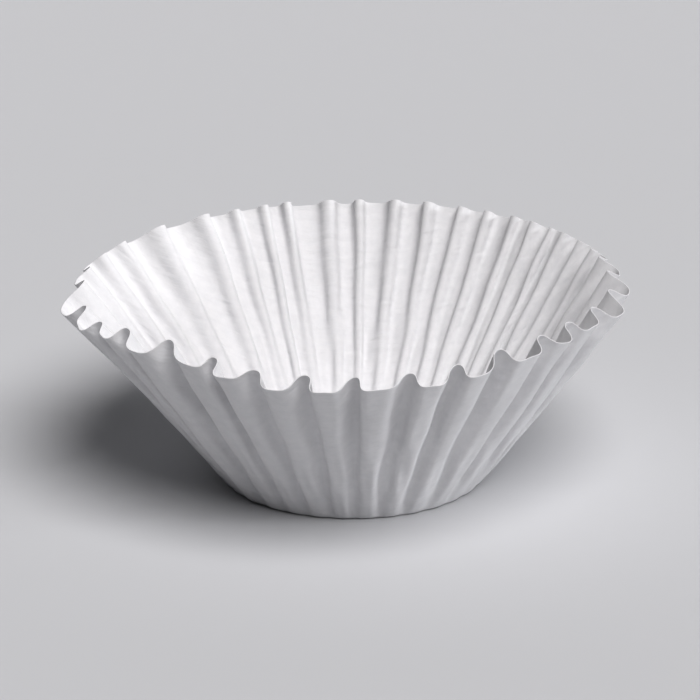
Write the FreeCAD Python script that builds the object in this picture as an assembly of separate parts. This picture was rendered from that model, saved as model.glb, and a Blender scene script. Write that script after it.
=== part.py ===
import FreeCAD, Part

# Paper basket coffee filter, one sheet: a disc of creped filter paper pressed into a fluted cup.
#
# The paper doesn't stretch, so the flutes take up just what the disc has too much of. A circle drawn on the
# disc at distance rho from its middle keeps its length, 2 pi rho, where the cup is only 2 pi r round. On the
# way along that circle, the paper's direction swings to and fro once a flute, as
#     swing * (sin a + tightness * sin 2a - flatness * sin 3a),  a one full turn from valley to valley,
# and the swing is the one whose mean cosine is r / rho.
#
# Frame: the origin is the middle of the base's underside, +Z is up, -Y is the front and +X the right.

import bisect
import math
import os

FULL_TURN = 2 * math.pi

# The sizes that are set by themselves: alias, value and meaning.
DRIVING_SIZES = [
    ("flat_diameter", 216.0, "disc of paper before it is pressed, mm"),
    ("base_diameter", 76.0, "crease between base and wall, mm"),
    ("paper_thickness", 0.2, "creped filter paper, mm"),
    ("corner_radius", 2.4, "bend between base and wall, mm"),
    ("lean_low", 34.0, "wall's lean from upright just above the base, degrees"),
    ("lean_high", 35.0, "wall's lean from upright at the rim, degrees"),
    ("side_sag", 3.9, "how much further the rim leans out on the left than in front, degrees"),
    ("flute_count", 38, "flutes round the wall"),
    ("valley_tightness", 0.44, "0 makes valleys as round as ridges, more makes them narrower"),
    ("ridge_flatness", 0.06, "0 makes ridges round, more gives them a flat top between two corners"),
    ("first_ridge", -82.5, "direction of the first ridge, degrees from the front, + to the right"),
]

# Flute widths seen from above, from the left side round the front to the right and on round the back, as
# degrees of 38 flutes. With another count the list is gone round again and scaled to fill the circle.
FLUTE_WIDTHS = [
    16, 10.5, 9, 14, 11.5, 10, 10.5, 10, 10.5, 10, 11, 12, 10, 12, 12.5, 13.5, 10,
    7, 7.5, 6.5, 5, 6, 5.5, 8, 6.5, 8, 8.5, 7.5, 8, 9, 6.5, 6.5, 8,
    13, 12.5, 9.5, 9.5, 9.5,
]

# How much further out than its neighbourhood the rim leans at each of these ridges, in degrees.
FLUTE_SAGS = [
    1.5, 2, -1, -5, -4, 0.5, 3.5, 4.5, 3.5, 4.5, 1.5, -1.5, -1, -3, 2, 0.5, 0,
    -1, 0.5, 1, -0.5, 1, -1, 0.5, 1.5, -0.5, -1.5, 0, 1, 0.5, -1, 0, 1,
    -1, 1.5, -0.5, 0.5, -1,
]

# How far each of these ridges is pushed sideways over its valleys, as a share of its height, + to the right
# where it is seen from outside.
RIDGE_PUSHES = [
    0.1, -0.1, 0.15, 0.1, 0.15, -0.35, -0.25, -0.35, -0.4, -0.25, -0.35, -0.05, 0.1, -0.2, -0.1, 0.05, -0.15,
    0.1, -0.15, 0.05, 0.2, -0.1, 0, 0.15, -0.2, 0.1, -0.05, 0.2, -0.15, 0.05, 0.1, -0.2, 0.05,
    -0.1, 0.15, 0, -0.15, 0.1,
]

# Circles of the disc that the facets' corners lie on, as shares of the bend and of the wall above it.
BEND_SHARES = [0, 0.5, 1]
WALL_SHARES = [0.15, 0.5, 1]

# Where the corners stand in a flute, in degrees of its full turn from valley to valley. They are closest
# where the paper turns most, so the angle from facet to facet stays about even.
FACET_PHASES = [0, 12, 25, 41, 78, 100, 117, 135, 180, 225, 243, 260, 282, 319, 335, 348]


def make_sheet(doc):
    sheet = doc.addObject("Spreadsheet::Sheet", "Sizes")
    for row, (alias, value, meaning) in enumerate(DRIVING_SIZES, start=1):
        sheet.set(f"A{row}", meaning)
        sheet.set(f"B{row}", str(value))
        sheet.setAlias(f"B{row}", alias)
    doc.recompute()
    return sheet


class Wave:
    """A flute's cross-section, drawn on a flute whose paper is one full turn long."""

    STEPS = 48
    LARGEST_SWING = 1.9

    def __init__(self, tightness, flatness):
        self.tightness = tightness
        self.flatness = flatness
        self.fits = {}

    def direction(self, swing, phase):
        valleys = self.tightness * math.sin(2 * phase)
        ridges = self.flatness * math.sin(3 * phase)
        return swing * (math.sin(phase) + valleys - ridges)

    def walk(self, swing, phase):
        """Way gone across the flute and height over its valley, at a phase from 0 to a full turn."""
        step = phase / self.STEPS
        across = height = 0.0
        for k in range(self.STEPS):
            direction = self.direction(swing, step * (k + 0.5))
            across += math.cos(direction) * step
            height += math.sin(direction) * step
        return across, height

    def fit(self, ratio):
        """Swing, full width and ridge height of the wave that is ratio times as wide as its paper."""
        ratio = round(ratio, 9)
        if ratio not in self.fits:
            low, high = 0.0, self.LARGEST_SWING
            for _ in range(30):
                middle = (low + high) / 2
                if self.walk(middle, FULL_TURN)[0] > ratio * FULL_TURN:
                    low = middle
                else:
                    high = middle
            self.fits[ratio] = low, self.walk(low, FULL_TURN)[0], self.walk(low, math.pi)[1]
        return self.fits[ratio]


class PressedDisc:
    """Where each point of the flat disc ends up in the cup. Points are named by rho, flute and phase."""

    def __init__(self, sheet):
        self.rim = sheet.flat_diameter / 2
        self.thickness = sheet.paper_thickness
        self.low_slope = math.radians(90 - sheet.lean_low)
        self.high_slope = math.radians(90 - sheet.lean_high)
        self.side_sag = math.radians(sheet.side_sag)
        self.wave = Wave(sheet.valley_tightness, sheet.ridge_flatness)

        # Half of the bend's paper lies before the crease's circle and half behind it.
        self.corner_radius = sheet.corner_radius
        half_bend = self.corner_radius * self.low_slope / 2
        self.bend_start = sheet.base_diameter / 2 - half_bend
        self.bend_end = sheet.base_diameter / 2 + half_bend

        self.count = int(round(sheet.flute_count))
        widths = [FLUTE_WIDTHS[i % len(FLUTE_WIDTHS)] for i in range(self.count)]
        self.widths = [width * FULL_TURN / sum(widths) for width in widths]
        first_valley = math.radians(sheet.first_ridge) - self.widths[0] / 2
        self.valleys = [first_valley + sum(self.widths[:i]) for i in range(self.count)]
        self.ridges = [valley + width / 2 for valley, width in zip(self.valleys, self.widths)]
        self.sags = [math.radians(FLUTE_SAGS[i % len(FLUTE_SAGS)]) for i in range(self.count)]
        self.fitted = {}

    def sag(self, angle):
        """How much further out the rim leans at an angle, eased from each ridge to the next."""
        angle = self.ridges[0] + (angle - self.ridges[0]) % FULL_TURN
        before = bisect.bisect_right(self.ridges, angle) - 1
        behind = (before + 1) % self.count
        gap = (self.ridges[behind] - self.ridges[before]) % FULL_TURN
        share = (1 - math.cos(math.pi * (angle - self.ridges[before]) / gap)) / 2
        flute_sag = self.sags[before] * (1 - share) + self.sags[behind] * share
        return flute_sag - self.side_sag * math.sin(angle)

    def profile(self, rho, angle):
        """Radius, height and slope of the cup without its flutes, rho out along the paper."""
        if rho <= self.bend_start:
            return rho, 0.0, 0.0
        bent = min(rho, self.bend_end) - self.bend_start
        slope = bent / self.corner_radius
        r = self.bend_start + self.corner_radius * math.sin(slope)
        z = self.corner_radius * (1 - math.cos(slope))
        if rho > self.bend_end:
            # Up the wall the slope eases evenly from low to high, taken at the middle of the way.
            up = rho - self.bend_end
            high_slope = self.high_slope - self.sag(angle)
            turned = (self.low_slope - high_slope) * up / (self.rim - self.bend_end)
            r += up * math.cos(slope - turned / 2)
            z += up * math.sin(slope - turned / 2)
            slope -= turned
        return r, z, slope

    def fit(self, rho, flute):
        """Swing, full width and ridge height in mm of a flute's wave on the circle rho."""
        key = round(rho, 6), flute % self.count
        if key not in self.fitted:
            i = key[1]
            r = self.profile(rho, self.ridges[i])[0]
            swing, width, height = self.wave.fit(r / rho)
            self.fitted[key] = swing, width, height * self.widths[i] * rho / FULL_TURN
        return self.fitted[key]

    def underside(self, rho, flute, phase):
        """A point of the cup's outside."""
        swing, full_width, ridge = self.fit(rho, flute)
        across, height = self.wave.walk(swing, phase)
        height *= self.widths[flute] * rho / FULL_TURN

        # The valleys lie inside the plain cup by half the height of the ridges next to them.
        before = (self.fit(rho, flute - 1)[2] + ridge) / 4
        behind = (self.fit(rho, flute + 1)[2] + ridge) / 4
        share = (1 - math.cos(phase / 2)) / 2
        out = height - before * (1 - share) - behind * share

        angle = self.valleys[flute] + self.widths[flute] * across / full_width
        r, z, slope = self.profile(rho, angle)
        push = RIDGE_PUSHES[flute % len(RIDGE_PUSHES)] * height
        angle += push / r
        r += out * math.sin(slope)
        z -= out * math.cos(slope)
        return FreeCAD.Vector(r * math.sin(angle), -r * math.cos(angle), z)

    def inside(self, rho, flute, phase):
        """The point of the paper's other face, one thickness along the normal."""
        here = self.underside(rho, flute, phase)
        if rho <= self.bend_start:
            return here + FreeCAD.Vector(0, 0, self.thickness)
        small = 1e-3
        along = here - self.underside(rho - small, flute, phase)
        across = self.underside(rho, flute, phase + small) - self.underside(rho, flute, phase - small)
        inwards = along.cross(across).normalize()
        return here + inwards * self.thickness

    def ring(self, rho, face, phases):
        """One circle of the disc on either face of the paper, as corner points all the way round."""
        return [face(rho, flute, phase) for flute in range(self.count) for phase in phases]


def flat_face(*corners):
    return Part.Face(Part.makePolygon([*corners, corners[0]]))


def band(low, high):
    """Flat faces between two rings. The upper one has as many corners as the lower one, or twice as many."""
    faces = []
    step = len(high) // len(low)
    for k, corner in enumerate(low):
        next_corner = low[(k + 1) % len(low)]
        above = high[k * step]
        next_above = high[(k + 1) * step % len(high)]
        if step == 2:
            between = high[k * step + 1]
            faces.append(flat_face(corner, next_corner, between))
            faces.append(flat_face(corner, between, above))
            faces.append(flat_face(next_corner, next_above, between))
        else:
            faces.append(flat_face(corner, next_corner, next_above))
            faces.append(flat_face(corner, next_above, above))
    return faces


def pressed_solid(disc):
    """Both faces of the paper from the base to the rim, closed by the rim's cut edge."""
    fine = [math.radians(degrees) for degrees in FACET_PHASES]
    coarse = fine[::2]
    bend_paper = disc.bend_end - disc.bend_start
    wall_paper = disc.rim - disc.bend_end
    stations = [(disc.bend_start + bend_paper * share, coarse) for share in BEND_SHARES]
    stations += [(disc.bend_end + wall_paper * share, fine) for share in WALL_SHARES]
    faces = []
    rims = []
    for face in (disc.underside, disc.inside):
        rings = [disc.ring(rho, face, phases) for rho, phases in stations]
        faces.append(flat_face(*rings[0]))
        for low, high in zip(rings, rings[1:]):
            faces += band(low, high)
        rims.append(rings[-1])
    faces += band(*rims)

    shell = Part.makeShell(faces)
    shell.sewShape()
    solid = Part.makeSolid(shell)
    if solid.Volume < 0:
        solid.reverse()
    return solid


def check(doc):
    for thing in doc.Objects:
        if "Invalid" in thing.State or "Error" in thing.State:
            raise RuntimeError(f"{thing.Label} is {thing.State}")
    for thing in doc.Objects:
        if thing.isDerivedFrom("Part::Feature"):
            if thing.Shape.isNull() or not thing.Shape.isValid() or len(thing.Shape.Solids) != 1:
                raise RuntimeError(f"{thing.Label} is not one sound solid")


os.makedirs("parts", exist_ok=True)
doc = FreeCAD.newDocument("PaperCoffeeFilter")
sizes = make_sheet(doc)

paper = doc.addObject("Part::Feature", "PressedPaper")
paper.Label = "filter_paper"
paper.Shape = pressed_solid(PressedDisc(sizes))
paper.Placement = FreeCAD.Placement()

doc.recompute()
check(doc)
paper.Shape.exportStep(f"parts/{paper.Label}.step")
print(paper.Label, paper.Shape.BoundBox, round(paper.Shape.Volume, 1))
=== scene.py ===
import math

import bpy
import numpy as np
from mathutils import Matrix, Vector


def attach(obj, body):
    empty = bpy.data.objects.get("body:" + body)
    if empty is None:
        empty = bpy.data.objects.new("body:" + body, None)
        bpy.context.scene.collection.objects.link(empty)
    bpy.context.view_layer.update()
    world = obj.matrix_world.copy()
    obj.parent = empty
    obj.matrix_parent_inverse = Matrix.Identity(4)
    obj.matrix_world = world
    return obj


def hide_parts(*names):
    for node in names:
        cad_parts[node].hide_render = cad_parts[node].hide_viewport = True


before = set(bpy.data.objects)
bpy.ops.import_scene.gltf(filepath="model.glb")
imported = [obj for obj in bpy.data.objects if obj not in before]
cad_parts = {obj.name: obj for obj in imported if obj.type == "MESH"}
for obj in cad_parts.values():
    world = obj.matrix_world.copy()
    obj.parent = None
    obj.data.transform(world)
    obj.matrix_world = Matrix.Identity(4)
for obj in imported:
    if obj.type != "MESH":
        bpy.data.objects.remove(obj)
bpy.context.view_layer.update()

# A paper basket coffee filter on a plain pale floor. The pressed paper follows the same law as its
# CAD solid: a circle of the flat disc keeps its length, and its flutes take up what the cup has too
# little room for. Over that come what handling leaves in it: flutes that wander and differ, soft
# dents and a base that isn't quite flat. The paper's crepe is in its material.

MM = 0.001
FULL_TURN = 2 * math.pi

# ---- the pressed disc, in mm and degrees ----
FLAT_DIAMETER = 216.0
BASE_DIAMETER = 76.0
THICKNESS = 0.2
CORNER_RADIUS = 2.4
LEAN_LOW = 34.0
LEAN_HIGH = 35.0
SIDE_SAG = 3.9
FIRST_RIDGE = -82.5
VALLEY_TIGHTNESS = 0.44
RIDGE_FLATNESS = 0.06

# One value a flute, from the left side round the front to the right and on round the back: its width
# seen from above, how much further out the rim leans at its ridge in degrees, and how far its ridge
# is pushed sideways as a share of its height, + to the right where it is seen from outside.
FLUTE_WIDTHS = [
    16, 10.5, 9, 14, 11.5, 10, 10.5, 10, 10.5, 10, 11, 12, 10, 12, 12.5, 13.5, 10,
    7, 7.5, 6.5, 5, 6, 5.5, 8, 6.5, 8, 8.5, 7.5, 8, 9, 6.5, 6.5, 8,
    13, 12.5, 9.5, 9.5, 9.5,
]
FLUTE_SAGS = [
    1.5, 2, -1, -5, -4, 0.5, 3.5, 4.5, 3.5, 4.5, 1.5, -1.5, -1, -3, 2, 0.5, 0,
    -1, 0.5, 1, -0.5, 1, -1, 0.5, 1.5, -0.5, -1.5, 0, 1, 0.5, -1, 0, 1,
    -1, 1.5, -0.5, 0.5, -1,
]
RIDGE_PUSHES = [
    0.1, -0.1, 0.15, 0.1, 0.15, -0.35, -0.25, -0.35, -0.4,
    -0.25, -0.35, -0.05, 0.1, -0.2, -0.1, 0.05, -0.15,
    0.1, -0.15, 0.05, 0.2, -0.1, 0, 0.15, -0.2,
    0.1, -0.05, 0.2, -0.15, 0.05, 0.1, -0.2, 0.05,
    -0.1, 0.15, 0, -0.15, 0.1,
]

# ---- the scene's mesh of it ----
COLUMNS_A_FLUTE = 26
COLUMN_CROWDING = 0.35      # columns stand closer together in the valleys than on the ridges
BASE_RADII = [4, 12, 20, 28, 34]
BEND_LEVELS = 5
WALL_LEVELS = 33
WALL_CROWDING = 1.12        # levels stand closer together at the wall's foot
EDGE_SUPPORT = 0.1          # one more level this far under the rim keeps its edge crisp
WALK_STEPS = 40
LARGEST_SWING = 1.9
SWING_STEPS = 300
PHASE_STEPS = 96

# ---- what handling leaves, in mm and degrees ----
SEED = 23
TIGHTNESS_SPREAD = 0.08
FLATNESS_SPREAD = 0.05
PUSH_SPREAD = 0.05
WANDER = 0.3
DENT = 0.17
DENT_ROOM = 18.0            # wall over which the dents grow to their full depth
BASE_DENT = 0.16
BASE_ROOM = 20.0            # base, out from its middle, over which its own dents grow

# Each field's number of waves, their fewest and most turns round the disc, and the shortest run of a
# wave up the paper.
WANDER_WAVES = (14, (3, 34), 160)
DENT_WAVES = (40, (20, 95), 22)
BASE_WAVES = (12, (1, 5), 45)


class Ripples:
    """A smooth uneven field over the disc: waves round it and up it, with seeded phases."""

    def __init__(self, rng, count, turns, run):
        self.turns = rng.integers(turns[0], turns[1] + 1, count)
        self.up = rng.uniform(-1, 1, count) * FULL_TURN / run
        self.phase = rng.uniform(0, FULL_TURN, count)
        self.scale = 1 / math.sqrt(count / 2)

    def __call__(self, angle, rho):
        angle, rho = np.broadcast_arrays(angle, rho)
        total = np.zeros(angle.shape)
        for turns, up, phase in zip(self.turns, self.up, self.phase):
            total += np.cos(turns * angle + up * rho + phase)
        return total * self.scale


class Filter:
    """Where each point of the flat disc ends up in the cup, rho being its distance from the middle."""

    def __init__(self):
        rng = np.random.default_rng(SEED)
        self.count = len(FLUTE_WIDTHS)
        widths = np.array(FLUTE_WIDTHS, float)
        self.widths = widths * FULL_TURN / widths.sum()
        first_valley = math.radians(FIRST_RIDGE) - self.widths[0] / 2
        self.valleys = first_valley + np.cumsum(self.widths) - self.widths
        self.pushes = np.array(RIDGE_PUSHES) + rng.uniform(-1, 1, self.count) * PUSH_SPREAD
        self.tightness = VALLEY_TIGHTNESS + rng.uniform(-1, 1, self.count) * TIGHTNESS_SPREAD
        self.flatness = RIDGE_FLATNESS + rng.uniform(-1, 1, self.count) * FLATNESS_SPREAD

        self.rim = FLAT_DIAMETER / 2
        low_slope = math.radians(90 - LEAN_LOW)
        half_bend = CORNER_RADIUS * low_slope / 2
        self.bend_start = BASE_DIAMETER / 2 - half_bend
        self.bend_end = BASE_DIAMETER / 2 + half_bend

        self.wander = Ripples(rng, *WANDER_WAVES)
        self.dents = Ripples(rng, *DENT_WAVES)
        self.base_dents = Ripples(rng, *BASE_WAVES)

        # For every swing of the wave: how wide it leaves its paper, and how high its ridge stands.
        self.swings = np.linspace(0, LARGEST_SWING, SWING_STEPS)
        phase = (np.arange(PHASE_STEPS) + 0.5) / PHASE_STEPS * FULL_TURN
        direction = self.swings[None, :, None] * self.turning(phase[None, :])[:, None, :]
        self.ratios = np.cos(direction).mean(2)
        self.heights = np.sin(direction[:, :, phase < math.pi]).mean(2) * math.pi

    def turning(self, phase):
        """How the paper's direction goes along each flute, for a swing of one."""
        shape = (-1,) + (1,) * (phase.ndim - 1)
        tightness = self.tightness.reshape(shape)
        flatness = self.flatness.reshape(shape)
        return np.sin(phase) + tightness * np.sin(2 * phase) - flatness * np.sin(3 * phase)

    def sag(self, angle):
        """How much further out the rim leans at an angle, in degrees, eased from ridge to ridge."""
        ridges = self.valleys + self.widths / 2
        angle = ridges[0] + np.mod(angle - ridges[0], FULL_TURN)
        ridges = np.append(ridges, ridges[0] + FULL_TURN)
        sags = np.append(FLUTE_SAGS, FLUTE_SAGS[0])
        k = np.clip(np.searchsorted(ridges, angle, "right") - 1, 0, len(ridges) - 2)
        share = (angle - ridges[k]) / (ridges[k + 1] - ridges[k])
        share = (1 - np.cos(math.pi * share)) / 2
        return sags[k] * (1 - share) + sags[k + 1] * share - SIDE_SAG * np.sin(angle)

    def profile(self, rho, angle):
        """Radius, height and slope of the cup without its flutes, at each of some angles."""
        slope = (min(rho, self.bend_end) - self.bend_start) / CORNER_RADIUS
        slope = np.full(np.shape(angle), slope)
        r = self.bend_start + CORNER_RADIUS * np.sin(slope)
        z = CORNER_RADIUS * (1 - np.cos(slope))
        if rho > self.bend_end:
            up = rho - self.bend_end
            lean = LEAN_HIGH + self.sag(angle) - LEAN_LOW
            turned = np.radians(lean) * up / (self.rim - self.bend_end)
            r += up * np.cos(slope - turned / 2)
            z += up * np.sin(slope - turned / 2)
            slope = slope - turned
        return r, z, slope

    def waves(self, ratio):
        """Each flute's swing at its ratio of radius to rho, and its ridge's height for its paper."""
        swing = [np.interp(-ratio[i], -self.ratios[i], self.swings) for i in range(self.count)]
        height = [np.interp(swing[i], self.swings, self.heights[i]) for i in range(self.count)]
        return np.array(swing), np.array(height)

    def flat_angles(self, phases):
        """Where the mesh's columns stand on the flat disc."""
        return (self.valleys[:, None] + self.widths[:, None] * phases / FULL_TURN).ravel()

    def ring(self, rho, phases):
        """Points of the outside on one circle of the disc, flute by flute."""
        ratio = self.profile(rho, self.valleys + self.widths / 2)[0] / rho
        paper = self.widths * rho / FULL_TURN
        swing, ridge = self.waves(ratio)
        ridge = ridge * paper

        # The walk along the paper from each flute's valley.
        steps = (np.arange(WALK_STEPS) + 0.5) / WALK_STEPS * phases[:, None]
        direction = swing[:, None, None] * self.turning(steps[None])
        across = np.cos(direction).mean(2) * phases
        height = np.sin(direction).mean(2) * phases * paper[:, None]

        # The valleys lie inside the plain cup by half the height of the ridges next to them.
        before = ((np.roll(ridge, 1) + ridge) / 4)[:, None]
        behind = ((np.roll(ridge, -1) + ridge) / 4)[:, None]
        share = (1 - np.cos(phases / 2)) / 2
        out = height - before * (1 - share) - behind * share

        width = self.widths[:, None] * across / (FULL_TURN * ratio[:, None])
        angle = self.valleys[:, None] + width
        grown = (rho - self.bend_start) / (self.rim - self.bend_start)
        angle = angle + math.radians(WANDER) * grown * self.wander(angle, rho)
        r, z, slope = self.profile(rho, angle)
        angle = angle + self.pushes[:, None] * height / r
        r = r + out * np.sin(slope)
        z = z - out * np.cos(slope)
        return np.stack([r * np.sin(angle), -r * np.cos(angle), z], -1).reshape(-1, 3)


def surface_grid(paper):
    """The outside as rings of points from the base's middle to the rim, each ring's distance from
    the middle of the flat disc, and each column's angle on it."""
    phases = np.arange(COLUMNS_A_FLUTE) / COLUMNS_A_FLUTE * FULL_TURN
    phases = phases - COLUMN_CROWDING * np.sin(phases)
    flat = paper.flat_angles(phases)
    bend = np.linspace(paper.bend_start, paper.bend_end, BEND_LEVELS)
    steps = np.linspace(0, 1, WALL_LEVELS + 1)[1:] ** WALL_CROWDING
    wall = paper.bend_end + (paper.rim - EDGE_SUPPORT - paper.bend_end) * steps
    stations = [*bend, *wall, paper.rim]

    direction = np.stack([np.sin(flat), -np.cos(flat), 0 * flat], -1)
    rings = [radius * direction for radius in BASE_RADII]
    rings += [paper.ring(rho, phases) for rho in stations]
    return np.array(rings), np.array([*BASE_RADII, *stations], float), flat


def normals(grid):
    """Unit normals of a closed grid of rings, pointing out of the cup."""
    around = np.roll(grid, -1, 1) - np.roll(grid, 1, 1)
    up = np.gradient(grid, axis=0)
    normal = np.cross(around, up)
    return normal / np.linalg.norm(normal, axis=2, keepdims=True)


def dent(grid, rhos, flat, paper):
    """The grid with soft dents in its wall and a base that lifts a little off the floor."""
    rho = rhos[:, None]
    grown = np.clip((rho - paper.bend_end) / DENT_ROOM, 0, 1)
    depth = DENT * grown * paper.dents(flat[None, :], rho)
    grid = grid + normals(grid) * depth[:, :, None]

    inner = np.clip((paper.bend_start - rho) / paper.bend_start, 0, 1)
    uneven = paper.base_dents(flat[None, :], rho) * np.minimum(rho / BASE_ROOM, 1)
    grid[:, :, 2] += np.maximum(BASE_DENT * inner * (1 + uneven), 0)
    return grid


def sheet_faces(levels, columns):
    """Quads of both faces of the paper and of the rim's cut edge, and the fans in the base's middle."""
    side = levels * columns
    faces = []
    for i in range(levels - 1):
        for j in range(columns):
            k = (j + 1) % columns
            low, high = i * columns, (i + 1) * columns
            a, b, c, d = low + j, low + k, high + k, high + j
            faces.append((a, b, c, d))
            faces.append((side + d, side + c, side + b, side + a))
    top = (levels - 1) * columns
    middle_out, middle_in = 2 * side, 2 * side + 1
    for j in range(columns):
        k = (j + 1) % columns
        faces.append((top + j, top + k, side + top + k, side + top + j))
        faces.append((middle_out, k, j))
        faces.append((middle_in, side + j, side + k))
    return faces


def make_filter():
    paper = Filter()
    grid, rhos, flat = surface_grid(paper)
    grid = dent(grid, rhos, flat, paper)
    inside = grid - normals(grid) * THICKNESS
    middle_z = grid[0, :, 2].mean()
    middle = [[0, 0, middle_z], [0, 0, middle_z + THICKNESS]]
    vertices = np.concatenate([grid.reshape(-1, 3), inside.reshape(-1, 3), middle]) * MM

    mesh = bpy.data.meshes.new("filter_paper_sheet")
    mesh.from_pydata(vertices.tolist(), [], sheet_faces(len(rhos), len(flat)))
    mesh.update()

    # Where each point lies on the flat disc, in disc diameters, so the crepe runs through the whole
    # sheet.
    rho = rhos[:, None]
    on_disc = np.stack([rho * np.sin(flat), rho * np.cos(flat)], -1).reshape(-1, 2)
    on_disc = np.concatenate([on_disc, on_disc, [[0, 0], [0, 0]]]) / FLAT_DIAMETER + 0.5
    layer = mesh.uv_layers.new(name="flat_disc")
    corners = np.empty(len(mesh.loops), np.int32)
    mesh.loops.foreach_get("vertex_index", corners)
    layer.data.foreach_set("uv", on_disc[corners].astype(np.float32).ravel())
    mesh.polygons.foreach_set("use_smooth", [True] * len(mesh.polygons))

    sheet = bpy.data.objects.new("filter_paper_sheet", mesh)
    bpy.context.scene.collection.objects.link(sheet)
    return sheet


# ---- materials ----
# The paper's patterns: waves a millimetre along and across the crepe, the turn of the crepe, and the
# noise's detail, roughness and distortion. The wrinkles are long, low and about a millimetre apart.
PATTERNS = {
    "wrinkles": ((0.2, 0.9, 1), 0.06, 2.0, 0.55, 0.5),
    "coarse": ((0.1, 0.36, 1), -0.04, 1.0, 0.5, 0.4),
    "fibres": ((2.4, 3.6, 1), 0.4, 3.0, 0.6, 0.0),
    "cloud": ((0.32, 0.32, 1), 0.0, 4.0, 0.6, 0.0),
}
# How deep each pattern's relief is in mm, and how strongly it shows, from the first to the last.
RELIEF = [("coarse", 0.35, 0.9), ("wrinkles", 0.16, 0.9), ("fibres", 0.04, 0.5)]

THIN_PAPER = (0.70, 0.70, 0.715, 1)
DENSE_PAPER = (0.77, 0.765, 0.775, 1)
MOTTLE_ENDS = (0.3, 0.7)
CLOUD_SHARE = 0.7
FIBRE_SHARE = 0.3
LEAST_ROUGHNESS = 0.84
FIBRE_ROUGHNESS = 0.12
PAPER_SPECULAR = 0.25
PAPER_SHEEN = 0.08
SHEEN_ROUGHNESS = 0.6

FLOOR_COLOUR = (0.59, 0.595, 0.61, 1)
FLOOR_ROUGHNESS = 0.9
FLOOR_SPECULAR = 0.1


def new_material(name):
    material = bpy.data.materials.new(name)
    material.use_nodes = True
    tree = material.node_tree
    return material, tree, tree.nodes["Principled BSDF"]


def mapped(tree, vector, scale, turn=0.0):
    node = tree.nodes.new("ShaderNodeMapping")
    node.inputs["Scale"].default_value = scale
    node.inputs["Rotation"].default_value = (0, 0, turn)
    tree.links.new(vector, node.inputs["Vector"])
    return node.outputs["Vector"]


def pattern(tree, millimetres, scale, turn, detail, roughness, distortion):
    node = tree.nodes.new("ShaderNodeTexNoise")
    node.inputs["Scale"].default_value = 1.0
    node.inputs["Detail"].default_value = detail
    node.inputs["Roughness"].default_value = roughness
    node.inputs["Distortion"].default_value = distortion
    tree.links.new(mapped(tree, millimetres, scale, turn), node.inputs["Vector"])
    return node.outputs["Fac"]


def math_node(tree, operation, first, second):
    node = tree.nodes.new("ShaderNodeMath")
    node.operation = operation
    for socket, value in zip(node.inputs, (first, second)):
        if isinstance(value, float):
            socket.default_value = value
        else:
            tree.links.new(value, socket)
    return node.outputs[0]


def bump(tree, height, distance, strength, before):
    node = tree.nodes.new("ShaderNodeBump")
    node.inputs["Distance"].default_value = distance
    node.inputs["Strength"].default_value = strength
    tree.links.new(height, node.inputs["Height"])
    if before:
        tree.links.new(before, node.inputs["Normal"])
    return node.outputs["Normal"]


def paper_material():
    material, tree, shader = new_material("creped_filter_paper")
    disc = tree.nodes.new("ShaderNodeUVMap")
    disc.uv_map = "flat_disc"
    millimetres = mapped(tree, disc.outputs["UV"], (FLAT_DIAMETER,) * 3)
    fields = {name: pattern(tree, millimetres, *values) for name, values in PATTERNS.items()}

    ramp = tree.nodes.new("ShaderNodeValToRGB")
    for element, position, colour in zip(
        ramp.color_ramp.elements, MOTTLE_ENDS, (THIN_PAPER, DENSE_PAPER)
    ):
        element.position = position
        element.color = colour
    clouds = math_node(tree, "MULTIPLY", fields["cloud"], CLOUD_SHARE)
    fibres = math_node(tree, "MULTIPLY", fields["fibres"], FIBRE_SHARE)
    tree.links.new(math_node(tree, "ADD", clouds, fibres), ramp.inputs["Fac"])
    tree.links.new(ramp.outputs["Color"], shader.inputs["Base Color"])

    rough = math_node(tree, "MULTIPLY", fields["fibres"], FIBRE_ROUGHNESS)
    rough = math_node(tree, "ADD", rough, LEAST_ROUGHNESS)
    tree.links.new(rough, shader.inputs["Roughness"])
    shader.inputs["Specular IOR Level"].default_value = PAPER_SPECULAR
    shader.inputs["Sheen Weight"].default_value = PAPER_SHEEN
    shader.inputs["Sheen Roughness"].default_value = SHEEN_ROUGHNESS

    relief = None
    for name, depth, strength in RELIEF:
        relief = bump(tree, fields[name], depth * MM, strength, relief)
    tree.links.new(relief, shader.inputs["Normal"])
    return material


def floor_material():
    material, tree, shader = new_material("studio_floor")
    shader.inputs["Base Color"].default_value = FLOOR_COLOUR
    shader.inputs["Roughness"].default_value = FLOOR_ROUGHNESS
    shader.inputs["Specular IOR Level"].default_value = FLOOR_SPECULAR
    return material


# ---- stage, light and camera ----
def make_floor():
    """A floor that curves up into a backdrop behind the filter, in metres."""
    half_width = 3.0
    front, back = -2.2, 1.6
    curve_radius, curve_steps = 0.9, 12
    top = 2.4
    line = [(front, 0.0), (back, 0.0)]
    for k in range(1, curve_steps + 1):
        turn = math.pi / 2 * k / curve_steps
        y = back + curve_radius * math.sin(turn)
        line.append((y, curve_radius * (1 - math.cos(turn))))
    line.append((back + curve_radius, top))
    vertices = []
    for y, z in line:
        vertices += [(-half_width, y, z), (half_width, y, z)]
    faces = [(2 * k, 2 * k + 1, 2 * k + 3, 2 * k + 2) for k in range(len(line) - 1)]
    mesh = bpy.data.meshes.new("studio_floor")
    mesh.from_pydata(vertices, [], faces)
    mesh.polygons.foreach_set("use_smooth", [True] * len(mesh.polygons))
    mesh.materials.append(floor_material())
    floor = bpy.data.objects.new("studio_floor", mesh)
    bpy.context.scene.collection.objects.link(floor)


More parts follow.
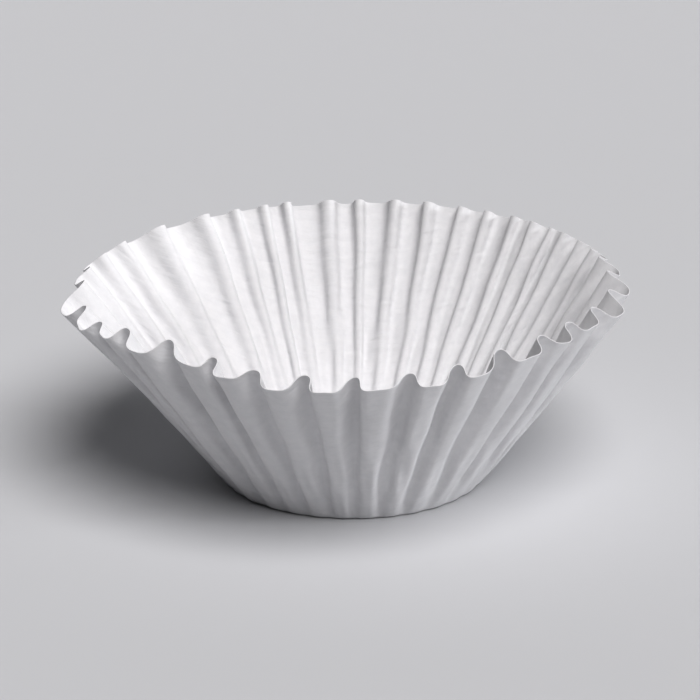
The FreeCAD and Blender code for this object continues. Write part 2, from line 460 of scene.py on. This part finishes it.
def softbox(name, azimuth, elevation, spread, strength, colour):
    """A far softbox, as a sun lamp as wide as its spread. The angles are in degrees, and the azimuth
    goes from the front, + to the right."""
    lamp = bpy.data.lights.new(name, "SUN")
    lamp.angle = math.radians(spread)
    lamp.energy = strength
    lamp.color = colour
    turn, rise = math.radians(azimuth), math.radians(elevation)
    level = math.cos(rise)
    toward = Vector((-math.sin(turn) * level, math.cos(turn) * level, -math.sin(rise)))
    light = bpy.data.objects.new(name, lamp)
    light.rotation_euler = toward.to_track_quat("-Z", "Y").to_euler()
    bpy.context.scene.collection.objects.link(light)


def make_lights():
    softbox("key", azimuth=28, elevation=57, spread=40, strength=3.15, colour=(1.0, 0.985, 0.985))
    softbox("right_graze", azimuth=84, elevation=8, spread=12, strength=1.05,
            colour=(0.97, 0.98, 1.0))
    world = bpy.data.worlds.new("studio")
    world.use_nodes = True
    background = world.node_tree.nodes["Background"]
    background.inputs["Color"].default_value = (0.97, 0.975, 1.0, 1)
    background.inputs["Strength"].default_value = 0.05
    bpy.context.scene.world = world


def make_camera():
    """The photographed view: the base's middle stands at base_pixel of a square picture."""
    picture = 700
    base_pixel = (353, 469)
    focal_pixels = 3406
    elevation = math.radians(22.0)
    distance = 1.0
    lens = bpy.data.cameras.new("camera")
    lens.sensor_width = 36.0
    lens.lens = focal_pixels / picture * lens.sensor_width
    lens.clip_start = 0.05
    camera = bpy.data.objects.new("camera", lens)
    camera.location = (0, -distance * math.cos(elevation), distance * math.sin(elevation))
    below = math.atan((base_pixel[1] - picture / 2) / focal_pixels)
    right = math.atan((base_pixel[0] - picture / 2) / focal_pixels)
    camera.rotation_euler = (math.pi / 2 - elevation + below, 0, right)
    bpy.context.scene.collection.objects.link(camera)
    bpy.context.scene.camera = camera


make_camera()
make_lights()
make_floor()

sheet = make_filter()
sheet.data.materials.append(paper_material())
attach(sheet, "root")
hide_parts("filter_paper")

# The photograph has a little more contrast than a plain picture.
view = bpy.context.scene.view_settings
view.view_transform = "Standard"
view.look = "None"
view.exposure = 0.05
view.gamma = 0.88
